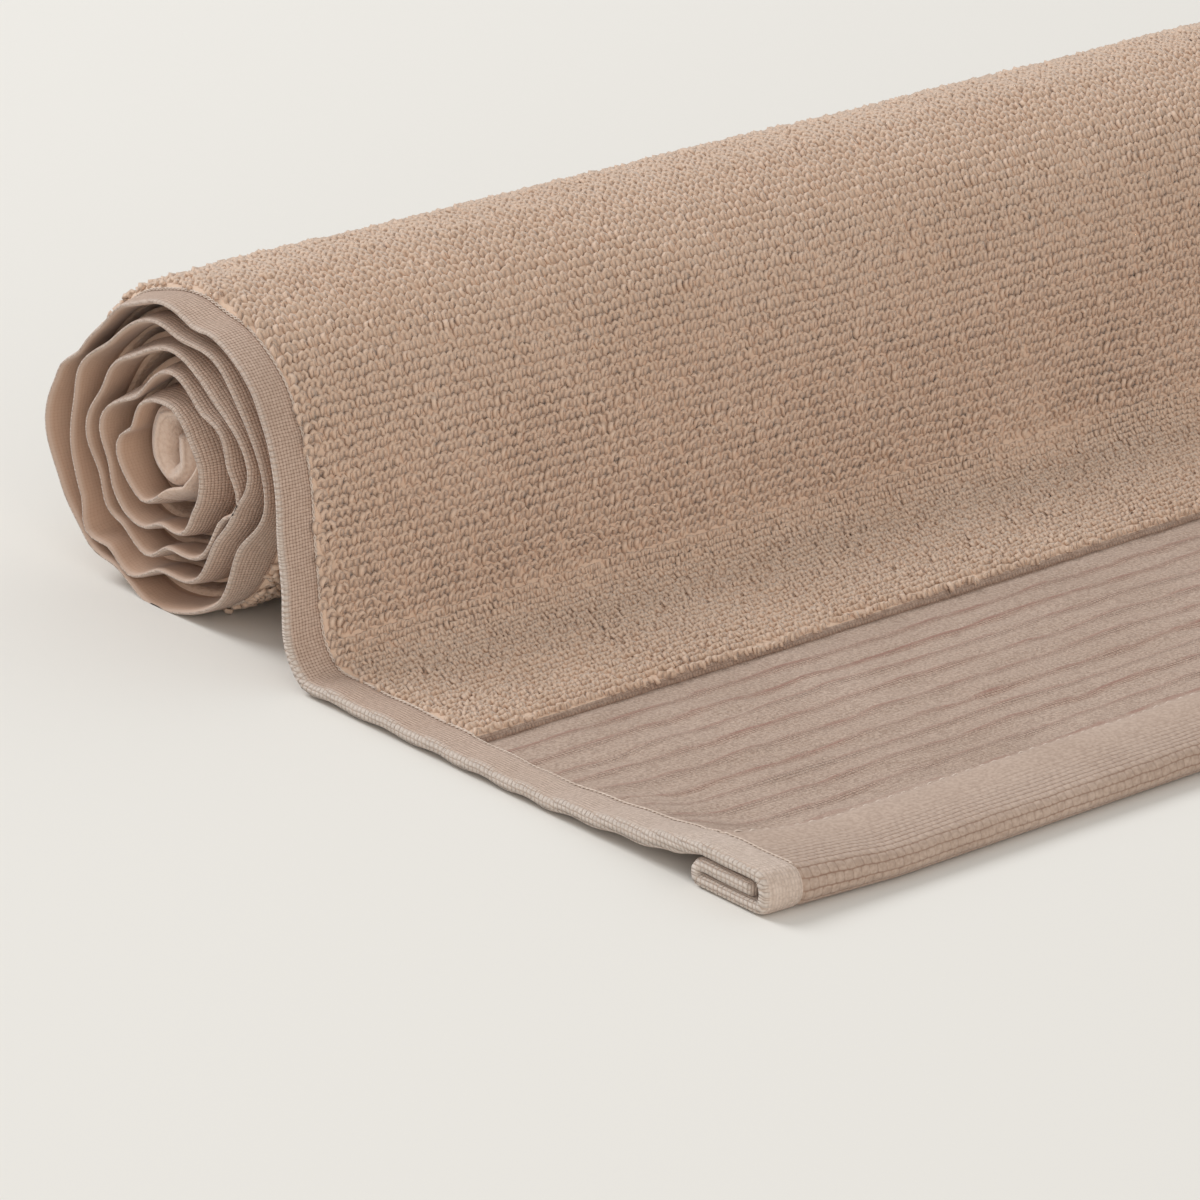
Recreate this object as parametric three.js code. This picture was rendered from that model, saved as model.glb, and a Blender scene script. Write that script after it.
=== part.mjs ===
// A rolled face towel: one terry cloth, 500 mm wide and about a metre long, wound into a roll
// that lies on its side, its free end hanging over the front and running out flat on the floor.
// Millimetres. X runs along the roll, the free end points to -Y, and Z is up from the floor.
import * as THREE from 'three';

// The cloth's own sizes.
const towelWidth = 500;       // from side hem to side hem, along the roll
const pileThick = 3.8;        // terry with the loops of both faces
const borderThick = 2.0;      // woven band without loops, before each end hem
const sideHemThick = 2.2;     // turned and sewn side edge, in the roll
const sideHemWidth = 8;       // from the edge to its line of sewing
const hemLayer = 1.8;         // each of the three layers of the free end's hem
const hemSlit = 0.6;          // room left between those layers
const hemDepth = 20;          // from the end hem's front fold to its back fold
const cornerPuff = 1.4;       // how much fuller the end hem is where the side hems cross it
const hemLift = 0.7;          // room between the floor and the side hem of the free end

// The roll, seen from its end.
const rollCentre = { y: -4, z: 35.5 };
const waveLength = 15.5;      // of the side hem's scallops, along the cloth
const waveReach = 32;         // how far in from the edge the scallops fade out
const coreInset = 4.5;        // how far the core sits in from the roll's left end
const floorShift = -6;        // how far the free end has slid along the roll
const cornerPull = 3.2;       // how far the free end's corners are drawn back from its middle

// The centre line of the cloth from the roll's centre, in eight directions. One row is one turn,
// the outermost first. scallop is the height of the side hem's waves in that turn.
const turnTable = [
  { top: 32.5, topBack: 36.2, back: 42.4, lowBack: 41.4,
    bottom: 33.8, lowFront: 29.8, front: 31.0, topFront: 29.9, scallop: 0.7 },
  { top: 27.4, topBack: 31.0, back: 36.9, lowBack: 36.6,
    bottom: 28.4, lowFront: 24.6, front: 26.0, topFront: 24.9, scallop: 0.9 },
  { top: 22.5, topBack: 25.8, back: 31.2, lowBack: 30.8,
    bottom: 23.2, lowFront: 19.6, front: 20.9, topFront: 19.2, scallop: 1.0 },
  { top: 17.6, topBack: 20.2, back: 25.4, lowBack: 24.9,
    bottom: 18.0, lowFront: 14.4, front: 13.0, topFront: 12.2, scallop: 1.0 },
  { top: 12.9, topBack: 15.4, back: 19.3, lowBack: 18.4,
    bottom: 11.4, lowFront: 8.9, front: 8.4, scallop: 0.9 },
];
const directions = ['top', 'topBack', 'back', 'lowBack', 'bottom', 'lowFront', 'front', 'topFront'];

// The free end from its border to the top of the roll: where the cloth's centre line lies, how
// thick it is, and how thick its side hem is.
const freeEndTable = [
  { place: 'border, at the hem', y: -172, z: 1.2, thick: borderThick, hem: 2.8 },
  { place: 'border, middle', y: -142, z: 0.97, thick: borderThick, hem: 3.0 },
  { place: 'border, near the loops', y: -112, z: 0.97, thick: borderThick, hem: 3.0 },
  { place: 'border, at the loops', y: -103, z: 1.1, thick: borderThick, hem: 3.0 },
  { place: 'terry begins', y: -100.5, z: 1.86, thick: pileThick, hem: 3.0 },
  { place: 'floor', y: -84, z: 1.86, thick: pileThick, hem: 3.0 },
  { place: 'floor, at the crease', y: -66, z: 1.86, thick: pileThick, hem: 3.0 },
  { place: 'crease, low', y: -57.6, z: 3.3, thick: pileThick, hem: 2.8 },
  { place: 'crease, high', y: -52.6, z: 7.8, thick: pileThick, hem: 2.6 },
  { place: 'drape, low', y: -49.6, z: 16.5, thick: pileThick, hem: 2.4 },
  { place: 'drape', y: -46.6, z: 27.0, thick: pileThick, hem: 2.3 },
  { place: 'drape, middle', y: -43.4, z: 37.5, thick: pileThick, hem: 2.2 },
  { place: 'drape, high', y: -39.0, z: 47.2, thick: pileThick, hem: 2.2 },
  { place: 'shoulder', y: -32.2, z: 56.8, thick: pileThick, hem: 2.2 },
  { place: 'shoulder, high', y: -23.3, z: 63.6, thick: pileThick, hem: 2.2 },
  { place: 'top, front', y: -13.6, z: 66.9, thick: pileThick, hem: 2.2 },
];

// The core: the cloth passes over it, thickens to its end hem and folds once around a slit.
const coreTable = [
  { place: 'over the core, rising', y: -11.0, z: 40.4, thick: borderThick },
  { place: 'over the core', y: -7.2, z: 43.6, thick: borderThick },
  { place: 'hem begins', y: -2.2, z: 44.1, thick: 2.8 },
  { place: 'back lobe, top', y: 2.7, z: 42.0, thick: 5.8 },
  { place: 'back lobe', y: 4.6, z: 37.6, thick: 8.4 },
  { place: 'back lobe, low', y: 4.5, z: 32.8, thick: 5.8 },
  { place: 'fold', y: -0.1, z: 29.5, thick: 4.2 },
  { place: 'front lobe, low', y: -4.6, z: 32.4, thick: 5.6 },
  { place: 'front lobe', y: -4.9, z: 36.4, thick: 8.2 },
  { place: 'end of the cloth', y: -4.6, z: 39.4, thick: 5.2 },
];

// How the path is cut into short straight runs.
const mostTurn = 14;          // degrees of bend in one run
const shortestRun = 0.9;
const longestInRoll = 4.2;
const longestOnFloor = 9;

// Stops along the cloth, from the tuck inside the free end's hem to the end in the core. full is
// 1 in the end hem, edge is the share of the slide along the roll, and inset is the core's.
function hemStop(y, z, full = 1) {
  return { y, z, thick: hemLayer, hem: hemLayer, full, edge: 1, inset: 0, scallop: 0 };
}

function foldStops(centreY, centreZ, radius, fromDeg, toDeg, count) {
  const stops = [];
  for (let i = 0; i < count; i += 1) {
    const angle = THREE.MathUtils.degToRad(fromDeg + (toDeg - fromDeg) * i / (count - 1));
    stops.push(hemStop(centreY + radius * Math.cos(angle), centreZ + radius * Math.sin(angle)));
  }
  return stops;
}

function freeHemStops() {
  const frontFold = -199.2;
  const backFold = frontFold + hemDepth - 4;
  const lowLayer = hemLayer / 2 - 0.03;
  const tuckLayer = lowLayer + hemLayer + hemSlit;
  const topLayer = tuckLayer + hemLayer + hemSlit;
  const middle = (frontFold + backFold) / 2;
  return [
    hemStop(frontFold + 3, tuckLayer),
    hemStop(middle, tuckLayer),
    ...foldStops(backFold, (lowLayer + tuckLayer) / 2, (tuckLayer - lowLayer) / 2, 90, -90, 5),
    hemStop(middle, lowLayer),
    ...foldStops(frontFold, (lowLayer + topLayer) / 2, (topLayer - lowLayer) / 2, -90, -270, 7),
    hemStop(middle, topLayer),
    hemStop(backFold + 0.6, topLayer - 0.1),
    hemStop(backFold + 3.8, topLayer - 1.4, 0.6),
    hemStop(backFold + 7.4, topLayer - 3.4, 0.25),
  ];
}

function rollStops() {
  const stops = [];
  turnTable.forEach((turn) => {
    directions.forEach((name, k) => {
      if (turn[name] === undefined) return;
      const angle = THREE.MathUtils.degToRad(45 * k);
      const inner = turn === turnTable[turnTable.length - 1];
      stops.push({
        y: rollCentre.y + turn[name] * Math.sin(angle),
        z: rollCentre.z + turn[name] * Math.cos(angle),
        thick: inner && k > 1 ? borderThick : pileThick,
        hem: sideHemThick,
        full: 0,
        edge: 0,
        inset: inner && k > 4 ? coreInset * (k - 4) / 3 : 0,
        scallop: turn.scallop,
      });
    });
  });
  return stops;
}

function clothStops() {
  const floorRows = freeEndTable.map((row) => ({
    ...row,
    full: 0,
    edge: THREE.MathUtils.smoothstep(60 - row.z, 0, 52),
    inset: 0,
    scallop: row.z > 20 ? 0.5 : 0.3,
  }));
  const coreRows = coreTable.map((row) => ({
    ...row,
    hem: row.thick,
    full: 0,
    edge: 0,
    inset: coreInset,
    scallop: 0,
  }));
  return [
    ...freeHemStops(),
    ...floorRows,
    ...rollStops(),
    ...coreRows,
  ];
}

// The centre line through the stops, cut where it has bent or run far enough.
function clothPath() {
  const stops = clothStops();
  const curve = new THREE.CatmullRomCurve3(
    stops.map((stop) => new THREE.Vector3(0, stop.y, stop.z)), false, 'centripetal');
  const spans = stops.length - 1;
  const fine = 24;
  const path = [];
  let run = 0;
  let length = 0;
  let lastTurn = null;
  let before = curve.getPoint(0);
  for (let i = 0; i <= spans * fine; i += 1) {
    const u = i / (spans * fine);
    const point = curve.getPoint(u);
    const step = point.distanceTo(before);
    run += step;
    length += step;
    before = point;
    const tangent = curve.getTangent(u);
    const turned = lastTurn ? THREE.MathUtils.radToDeg(tangent.angleTo(lastTurn)) : 0;
    const k = Math.min(Math.floor(i / fine), spans - 1);
    const mix = i / fine - k;
    const blend = (name) => THREE.MathUtils.lerp(stops[k][name], stops[k + 1][name], mix);
    const longest = blend('scallop') > 0.6 ? longestInRoll : longestOnFloor;
    const atEnd = path.length === 0 || i === spans * fine;
    if (atEnd || (turned > mostTurn && run > shortestRun) || run > longest) {
      path.push({
        y: point.y, z: point.z, ty: tangent.y, tz: tangent.z, length,
        thick: blend('thick'), hem: blend('hem'), full: blend('full'), edge: blend('edge'),
        shift: floorShift * blend('edge') + blend('inset'), scallop: blend('scallop'),
      });
      run = 0;
      lastTurn = tangent.clone();
    }
  }
  return path;
}

// Cross-cuts of the cloth from its left edge to its right one.
function crossCuts() {
  const toTerry = sideHemWidth + 1.4;
  const left = [
    { x: 0, hem: true, wave: 1, pull: 1, puff: 1 },
    { x: sideHemWidth, hem: true, wave: 0.45, pull: 0.7, puff: 0.8 },
    { x: toTerry, hem: false, wave: 0.2, pull: 0.65, puff: 0.6 },
    { x: waveReach, hem: false, wave: 0, pull: 0, puff: 0 },
  ];
  const right = left.map((cut) => ({ ...cut, x: towelWidth - cut.x, far: true })).reverse();
  return [...left, ...right];
}

function scallopHeight(stop, cut) {
  const phase = 2 * Math.PI * stop.length / waveLength;
  const drift = cut.far ? 2.1 + 0.9 * Math.sin(phase / 5.3) : 0.8 * Math.sin(phase / 7.1);
  return stop.scallop * cut.wave * Math.sin(phase + drift);
}

function crossRing(path, cut) {
  const upper = [];
  const lower = [];
  path.forEach((stop) => {
    const puff = 1 + (cornerPuff - 1) * cut.puff * stop.full;
    const half = (cut.hem ? stop.hem : stop.thick) * puff / 2;
    const lift = cut.hem ? hemLift * stop.edge * (1 - stop.full) : 0;
    const z = Math.max(stop.z * puff, (half + lift) * stop.edge);
    const wave = scallopHeight(stop, cut);
    const pull = cornerPull * cut.pull * THREE.MathUtils.smoothstep(-stop.y, 110, 195);
    const place = (side) => new THREE.Vector3(
      cut.x + stop.shift,
      stop.y + pull - stop.tz * (wave + side * half),
      Math.max(0, z + stop.ty * (wave + side * half)));
    upper.push(place(1));
    lower.push(place(-1));
  });
  // Past each end of the path the cloth is rounded off by one more point.
  const roundOff = (k, sign) => {
    const out = sign * 0.35 * path[k].hem;
    const middle = upper[k].clone().add(lower[k]).multiplyScalar(0.5);
    return middle.add(new THREE.Vector3(0, path[k].ty * out, path[k].tz * out));
  };
  return { upper, lower, start: roundOff(0, -1), end: roundOff(path.length - 1, 1) };
}

function towelGeometry() {
  const path = clothPath();
  const rings = crossCuts().map((cut) => crossRing(path, cut));
  const n = path.length;
  const size = 2 * n + 2;
  const positions = [];
  rings.forEach((ring) => {
    [...ring.upper, ring.end, ...ring.lower.reverse(), ring.start].forEach((p) => {
      positions.push(p.x, p.y, p.z);
    });
  });
  const index = [];
  const quad = (a, b, c, d) => index.push(a, c, b, a, d, c);
  for (let r = 0; r < rings.length - 1; r += 1) {
    for (let i = 0; i < size; i += 1) {
      const j = (i + 1) % size;
      quad(r * size + i, r * size + j, (r + 1) * size + j, (r + 1) * size + i);
    }
  }
  [[0, false], [(rings.length - 1) * size, true]].forEach(([base, far]) => {
    const face = (a, b, c) => {
      if (far) index.push(base + a, base + c, base + b);
      else index.push(base + a, base + b, base + c);
    };
    for (let i = 0; i < n - 1; i += 1) {
      const low = 2 * n - i;
      face(i, i + 1, low - 1);
      face(i, low - 1, low);
    }
    face(n - 1, n, n + 1);
    face(0, 2 * n, 2 * n + 1);
  });
  const geometry = new THREE.BufferGeometry();
  geometry.setAttribute('position', new THREE.Float32BufferAttribute(positions, 3));
  geometry.setIndex(index);
  geometry.computeBoundingBox();
  const middle = geometry.boundingBox.getCenter(new THREE.Vector3());
  geometry.translate(-middle.x, -middle.y, 0);
  geometry.computeVertexNormals();
  return geometry;
}

const cloth = new THREE.MeshStandardMaterial({ color: 0xb79c88, roughness: 0.95, metalness: 0 });
cloth.name = 'terry';
const towel = new THREE.Mesh(towelGeometry(), cloth);
towel.name = 'towel';

const rolledTowel = new THREE.Group();
rolledTowel.add(towel);

export default rolledTowel;
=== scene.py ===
import math

import bpy
import numpy as np
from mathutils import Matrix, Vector


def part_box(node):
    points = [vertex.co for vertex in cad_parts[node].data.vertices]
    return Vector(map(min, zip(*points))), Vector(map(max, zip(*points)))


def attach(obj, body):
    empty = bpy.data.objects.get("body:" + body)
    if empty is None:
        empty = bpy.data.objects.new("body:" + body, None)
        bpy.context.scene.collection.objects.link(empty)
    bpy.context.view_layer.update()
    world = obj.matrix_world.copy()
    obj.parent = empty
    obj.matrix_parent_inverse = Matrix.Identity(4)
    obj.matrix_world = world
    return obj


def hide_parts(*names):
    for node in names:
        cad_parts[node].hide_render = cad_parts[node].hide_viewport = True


# A rolled face towel of terry cloth. Lengths in this script are millimetres: x from the roll's left
# end, y from a line 4 mm behind the roll's centre, with the free end at -y, and z from the floor.
# They are turned into metres in the frame's place when a mesh is made.
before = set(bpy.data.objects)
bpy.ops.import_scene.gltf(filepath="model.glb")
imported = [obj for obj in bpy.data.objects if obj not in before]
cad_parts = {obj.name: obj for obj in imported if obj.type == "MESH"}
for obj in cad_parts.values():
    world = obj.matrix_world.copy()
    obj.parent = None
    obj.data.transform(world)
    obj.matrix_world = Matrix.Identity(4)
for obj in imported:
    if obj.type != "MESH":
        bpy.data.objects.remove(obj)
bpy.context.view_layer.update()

# The cloth's own sizes, as in the part's source.
TOWEL_WIDTH = 500.0  # from side hem to side hem, along the roll
PILE_THICK = 3.8  # terry with the loops of both faces
BORDER_THICK = 2.0  # woven band without loops
SIDE_HEM_THICK = 2.2  # turned and sewn side edge, in the roll
SIDE_HEM_WIDTH = 8.0  # from the edge to its line of sewing
HEM_LAYER = 1.8  # each of the three layers of the free end's hem
HEM_SLIT = 0.6  # room left between those layers
HEM_DEPTH = 20.0  # from the end hem's front fold to its back fold
CORNER_PUFF = 1.4  # how much fuller the end hem is where the side hems cross it
HEM_LIFT = 0.7  # room between the floor and the side hem of the free end

# The roll and its free end, as in the part's source.
ROLL_CENTRE = (-4.0, 35.5)
FRONT_FOLD = -199.2  # where the end hem folds at its front
WAVE_LENGTH = 15.5  # of the side hem's regular waves, along the cloth
WAVE_REACH = 32.0  # how far in from the edge the waves fade out
CORE_INSET = 4.5  # how far the core sits in from the roll's left end
FLOOR_SHIFT = -6.0  # how far the free end has slid along the roll
CORNER_PULL = 3.2  # how far the free end's corners are drawn back from its middle

# What only this finer shape has.
TUCK_FILL = 1.6  # how much further the hem's tucked layer reaches into its fold
SEAM_WIDTH = 1.4  # the step from the side hem to the terry
WAVE_GAIN = 0.8  # how much the left edge's waves grow once the cloth is on the roll
WAVE_GAIN_BEGINS = 270.0
WAVE_GAIN_REACH = 60.0

# Distances from a side edge between which puffs, waves and pulls fade: edge, seam, terry, end.
EDGE_ZONES = (0, SIDE_HEM_WIDTH, SIDE_HEM_WIDTH + SEAM_WIDTH, WAVE_REACH)

# The centre line's distance from the roll's centre in eight directions, one row a turn, and the
# height of that turn's regular waves.
TURNS = [
    {"radii": (32.5, 36.2, 42.4, 41.4, 33.8, 29.8, 31.0, 29.9), "scallop": 0.7},
    {"radii": (27.4, 31.0, 36.9, 36.6, 28.4, 24.6, 26.0, 24.9), "scallop": 0.9},
    {"radii": (22.5, 25.8, 31.2, 30.8, 23.2, 19.6, 20.9, 19.2), "scallop": 1.0},
    {"radii": (17.6, 20.2, 25.4, 24.9, 18.0, 14.4, 13.0, 12.2), "scallop": 1.0},
    {"radii": (12.9, 15.4, 19.3, 18.4, 11.4, 8.9, 8.4), "scallop": 0.9},
]

# The free end from its border to the top of the roll: y, z, thickness, side hem's thickness.
FREE_END = [
    (-172, 1.2, BORDER_THICK, 2.8),
    (-142, 0.97, BORDER_THICK, 3.0),
    (-112, 0.97, BORDER_THICK, 3.0),
    (-103, 1.1, BORDER_THICK, 3.0),
    (-100.5, 1.86, PILE_THICK, 3.0),
    (-84, 1.86, PILE_THICK, 3.0),
    (-66, 1.86, PILE_THICK, 3.0),
    (-57.6, 3.3, PILE_THICK, 2.8),
    (-52.6, 7.8, PILE_THICK, 2.6),
    (-49.6, 16.5, PILE_THICK, 2.4),
    (-46.6, 27.0, PILE_THICK, 2.3),
    (-43.4, 37.5, PILE_THICK, 2.2),
    (-39.0, 47.2, PILE_THICK, 2.2),
    (-32.2, 56.8, PILE_THICK, 2.2),
    (-23.3, 63.6, PILE_THICK, 2.2),
    (-13.6, 66.9, PILE_THICK, 2.2),
]

# The core, folded once: y, z, thickness.
CORE = [
    (-11.0, 40.4, BORDER_THICK),
    (-7.2, 43.6, 2.4),
    (-2.2, 44.1, 3.6),
    (2.7, 42.0, 7.0),
    (4.6, 37.6, 8.7),
    (4.5, 32.8, 8.1),
    (-0.1, 29.5, 6.0),
    (-4.6, 32.4, 7.9),
    (-4.9, 36.4, 8.7),
    (-4.6, 39.4, 6.8),
]
CORE_BULGE = 2.4

# The side hem climbs onto the thick end hem: distance along the cloth, height of its middle, half
# thickness.
CORNER_CLIMB = [
    (56, 7.95, 1.25),
    (60, 7.25, 1.7),
    (66, 6.1, 2.0),
    (75, 4.9, 1.95),
    (85, 3.9, 1.8),
    (100, 2.7, 1.6),
    (114, 1.9, 1.5),
]
CLIMB_REACH = 22.0

# The crests and hollows of the left edge: distance along the cloth, height off its centre line.
# Before the first of them the waves are regular, as they are all along the right edge.
EDGE_WAVES = [
    # drape and first turn
    (178, 0), (184, -1.6), (192, -1.2), (203, 0.4), (214, -0.1), (224, 0.4), (236, 0.5),
    (248, 0.8), (259, 0.4), (266, -1.2), (278, 0.7), (290, -0.6), (302, -2.3), (314, -1.7),
    (325, 0.5), (339, 2.4), (350, 1.6), (362, 0.6), (374, -1.1), (388, 0.9), (398, 0.5), (411, 0.7),
    # second turn
    (428, -1.7), (444, 0.8), (466, -0.4), (477, 0.4), (487, -0.3), (497, 0.6), (516, -1.2),
    (530, 0.3), (539, -0.5), (552, 0.6), (560, 0.8), (566, 2.6), (573, 0.1), (580, 1.2),
    (592, -1.3), (604, -0.1),
    # third turn
    (619, -2.2), (630, -1.7), (643, 0.7), (659, -1.4), (676, 0.5), (692, -1.1), (700, -0.7),
    (708, -1.3), (722, 0), (731, -1.3), (738, -0.5), (745, -1.5), (755, 0.2), (763, -1.5),
    # fourth turn
    (775, 0.5), (787, -0.4), (794, 1.4), (802, -0.5), (808, 0), (816, -1.5), (828, 0.5),
    (844, -2.6), (862, 0.4), (870, -0.5), (876, 0.1), (887, -0.2), (895, -1.5), (903, -0.3),
    # fifth turn
    (912, -1.5), (932, -2.3), (944, -1.2), (956, -1.0), (964, -2.0), (973, 0.8), (984, -0.3),
    (997, -2.2), (1004, -1.5), (1014, 0),
]

# Where things lie along the cloth, from the tuck in the free end's hem.
TUCK_ENDS = 16.0
SEWING_LINE = 59.5
HEM_SEAM = 62.0
TERRY_BEGINS = 139.0
FIRST_LOOPS = TERRY_BEGINS - 0.6
DRAPE_BEGINS = 190.0
FLOOR_LOOPS_END = 205.0
TOP_BEGINS = 238.0
SHORT_BEGINS = 262.0  # loops beside the left hem are short from here
BACK_BEGINS = 287.0
UNDER_BEGINS = 368.0
OUTSIDE_ENDS = 428.0  # the outermost turn's terry, which alone has loops
CORE_CLOTH_BEGINS = 992.0
CORE_BEGINS = 1000.0

# Where things lie across the cloth, from its left edge.
WEDGE_WIDTH = 66.0  # how far in the loops under the roll can be seen
FINE_WIDTH = 335.0  # how far the finest loops and mesh reach
FINISH_LAP = 0.6  # how far the finish of a hem or border reaches into the terry

# The ribs of the border: distance from the loops, depth of the groove.
BORDER_GROOVES = [
    (8.0, 0.42), (15.0, 0.5), (22.0, 0.28), (29.0, 0.55), (37.0, 0.3),
    (45.0, 0.55), (51.0, 0.3), (57.5, 0.5), (65.0, 0.3), (72.0, 0.45),
]

# The pile.
GROUND = 1.8  # height of the cloth that the loops stand on, off its centre line
LOOP_PITCH = 1.8  # from loop to loop, across the cloth
ROW_SHARE = 1.22  # from row to row, as a share of the pitch
LOOP_HALF_WIDTH = 0.64
LOOP_HEIGHT = 1.9
LOOP_LEAN = 69.0  # degrees from upright
LOOP_SCATTER = 0.16  # how far a loop's foot strays
YARN_RADIUS = 0.64

# A loop is an arch of yarn: its places across and up, as shares of its half width and height.
ARCH = [(-0.8, -0.1), (-0.9, 0.7), (0.0, 1.0), (0.9, 0.7), (0.8, -0.1)]
PLAIN_ARCH = [(-1.0, -0.05), (-0.65, 0.9), (0.65, 0.9), (1.0, -0.05)]
LOW_ARCH = [(-1.15, 0.0), (0.0, 1.0), (1.15, 0.0)]

# Sewing.
STITCH = 3.4  # one stitch of the end hem
STITCH_SHARE = 0.82  # how much of it the thread shows
TWIST = 2.6  # one twist of the side hems' thread
PLY_RADIUS = 0.19
SEWN_FROM = 40.0  # where the side hems' thread begins and ends along the cloth
SEWN_TO = 410.0

SEED = 61


def smooth(t):
    t = np.clip(t, 0.0, 1.0)
    return t * t * (3 - 2 * t)


def lattice_noise(x, y, seed):
    """Smooth noise from -1 to 1 that changes over a distance of one."""
    cells = 64
    table = np.random.default_rng(seed).uniform(-1, 1, (cells, cells))
    x0 = np.floor(x).astype(int)
    y0 = np.floor(y).astype(int)
    fx = smooth(x - x0)
    fy = smooth(y - y0)

    def pick(i, j):
        return table[(x0 + i) % cells, (y0 + j) % cells]

    low = pick(0, 0) * (1 - fx) + pick(1, 0) * fx
    high = pick(0, 1) * (1 - fx) + pick(1, 1) * fx
    return low * (1 - fy) + high * fy


# The centre line of the cloth.
# A stop is y, z, thickness, hem's thickness, share of end hem, share of slide, inset, scallop.
def hem_stop(y, z, full=1.0):
    return (y, z, HEM_LAYER, HEM_LAYER, full, 1.0, 0.0, 0.0)


def fold_stops(y, z, radius, from_deg, to_deg, count):
    """A round fold about this centre."""
    angles = np.radians(np.linspace(from_deg, to_deg, count))
    return [hem_stop(y + radius * math.cos(a), z + radius * math.sin(a)) for a in angles]


def free_hem_stops():
    """The three layers of the free end's hem, and the step down to the border."""
    back_fold = FRONT_FOLD + HEM_DEPTH - 4
    low = HEM_LAYER / 2 - 0.03
    tuck = low + HEM_LAYER + HEM_SLIT
    top = tuck + HEM_LAYER + HEM_SLIT
    middle = (FRONT_FOLD + back_fold) / 2
    return [
        hem_stop(FRONT_FOLD + 3 - TUCK_FILL, tuck),
        hem_stop(FRONT_FOLD + 3, tuck),
        hem_stop(middle, tuck),
        *fold_stops(back_fold, (low + tuck) / 2, (tuck - low) / 2, 90, -90, 5),
        hem_stop(middle, low),
        *fold_stops(FRONT_FOLD, (low + top) / 2, (top - low) / 2, -90, -270, 7),
        hem_stop(middle, top),
        hem_stop(back_fold + 0.6, top - 0.1),
        hem_stop(back_fold + 3.8, top - 1.4, 0.6),
        hem_stop(back_fold + 7.4, top - 3.4, 0.25),
    ]


def floor_stops():
    """The free end: slid along the roll on the floor, and less as it climbs."""
    return [
        (y, z, thick, hem, 0.0, float(smooth((60 - z) / 52)), 0.0, 0.5 if z > 20 else 0.3)
        for y, z, thick, hem in FREE_END
    ]


def roll_stops():
    """The five turns. The last ends in the other border, drawn in towards the core."""
    stops = []
    for turn in TURNS:
        inner = turn is TURNS[-1]
        for k, radius in enumerate(turn["radii"]):
            angle = math.radians(45 * k)
            stops.append((
                ROLL_CENTRE[0] + radius * math.sin(angle),
                ROLL_CENTRE[1] + radius * math.cos(angle),
                BORDER_THICK if inner and k > 1 else PILE_THICK,
                SIDE_HEM_THICK,
                0.0,
                0.0,
                CORE_INSET * (k - 4) / 3 if inner and k > 4 else 0.0,
                turn["scallop"],
            ))
    return stops


def core_stops():
    return [(y, z, thick, thick, 0.0, 0.0, CORE_INSET, 0.0) for y, z, thick in CORE]


def spline(points, steps):
    """A centripetal curve through the points, with so many steps a span, and its directions."""
    ends = [2 * points[0] - points[1], 2 * points[-1] - points[-2]]
    p = np.vstack([ends[0], points, ends[1]])
    gap = np.sqrt(np.linalg.norm(np.diff(p, axis=0), axis=1))
    places = []
    directions = []
    for k in range(1, len(p) - 2):
        before, here, after = gap[k - 1], gap[k], gap[k + 1]
        t1 = (p[k] - p[k - 1]) / before - (p[k + 1] - p[k - 1]) / (before + here)
        t1 = (t1 + (p[k + 1] - p[k]) / here) * here
        t2 = (p[k + 1] - p[k]) / here - (p[k + 2] - p[k]) / (here + after)
        t2 = (t2 + (p[k + 2] - p[k + 1]) / after) * here
        square = 3 * (p[k + 1] - p[k]) - 2 * t1 - t2
        cube = 2 * (p[k] - p[k + 1]) + t1 + t2
        last = 1 if k == len(p) - 3 else 0
        t = (np.arange(steps + last) / steps)[:, None]
        places.append(p[k] + t * t1 + t**2 * square + t**3 * cube)
        directions.append(t1 + 2 * t * square + 3 * t**2 * cube)
    directions = np.vstack(directions)
    return np.vstack(places), directions / np.linalg.norm(directions, axis=1)[:, None]


class Path:
    """The cloth's centre line, read at any distance along it."""

    def __init__(self, steps=30):
        stops = np.array(free_hem_stops() + floor_stops() + roll_stops() + core_stops(), float)
        places, directions = spline(stops[:, :2], steps)
        run = np.cumsum(np.linalg.norm(np.diff(places, axis=0), axis=1))
        self.s = np.concatenate([[0], run]) - TUCK_FILL
        spans = np.arange(len(stops))
        at = np.arange(len(places)) / steps
        names = ("thick", "hem", "full", "edge", "inset", "scallop")
        self.values = {name: np.interp(at, spans, stops[:, 2 + i]) for i, name in enumerate(names)}
        self.values.update(y=places[:, 0], z=places[:, 1], ty=directions[:, 0], tz=directions[:, 1])

    def at(self, s, name):
        return np.interp(s, self.s, self.values[name])

    @property
    def length(self):
        return float(self.s[-1])


PATH = Path()


# The cloth as a surface: u is the distance from its left edge, s the distance along it.
def from_edge(u):
    """Distance from the nearer side edge."""
    return np.minimum(u, TOWEL_WIDTH - u)


def hem_share(u):
    """1 in the side hem, 0 in the terry."""
    return 1 - smooth((from_edge(u) - SIDE_HEM_WIDTH) / SEAM_WIDTH)


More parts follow.
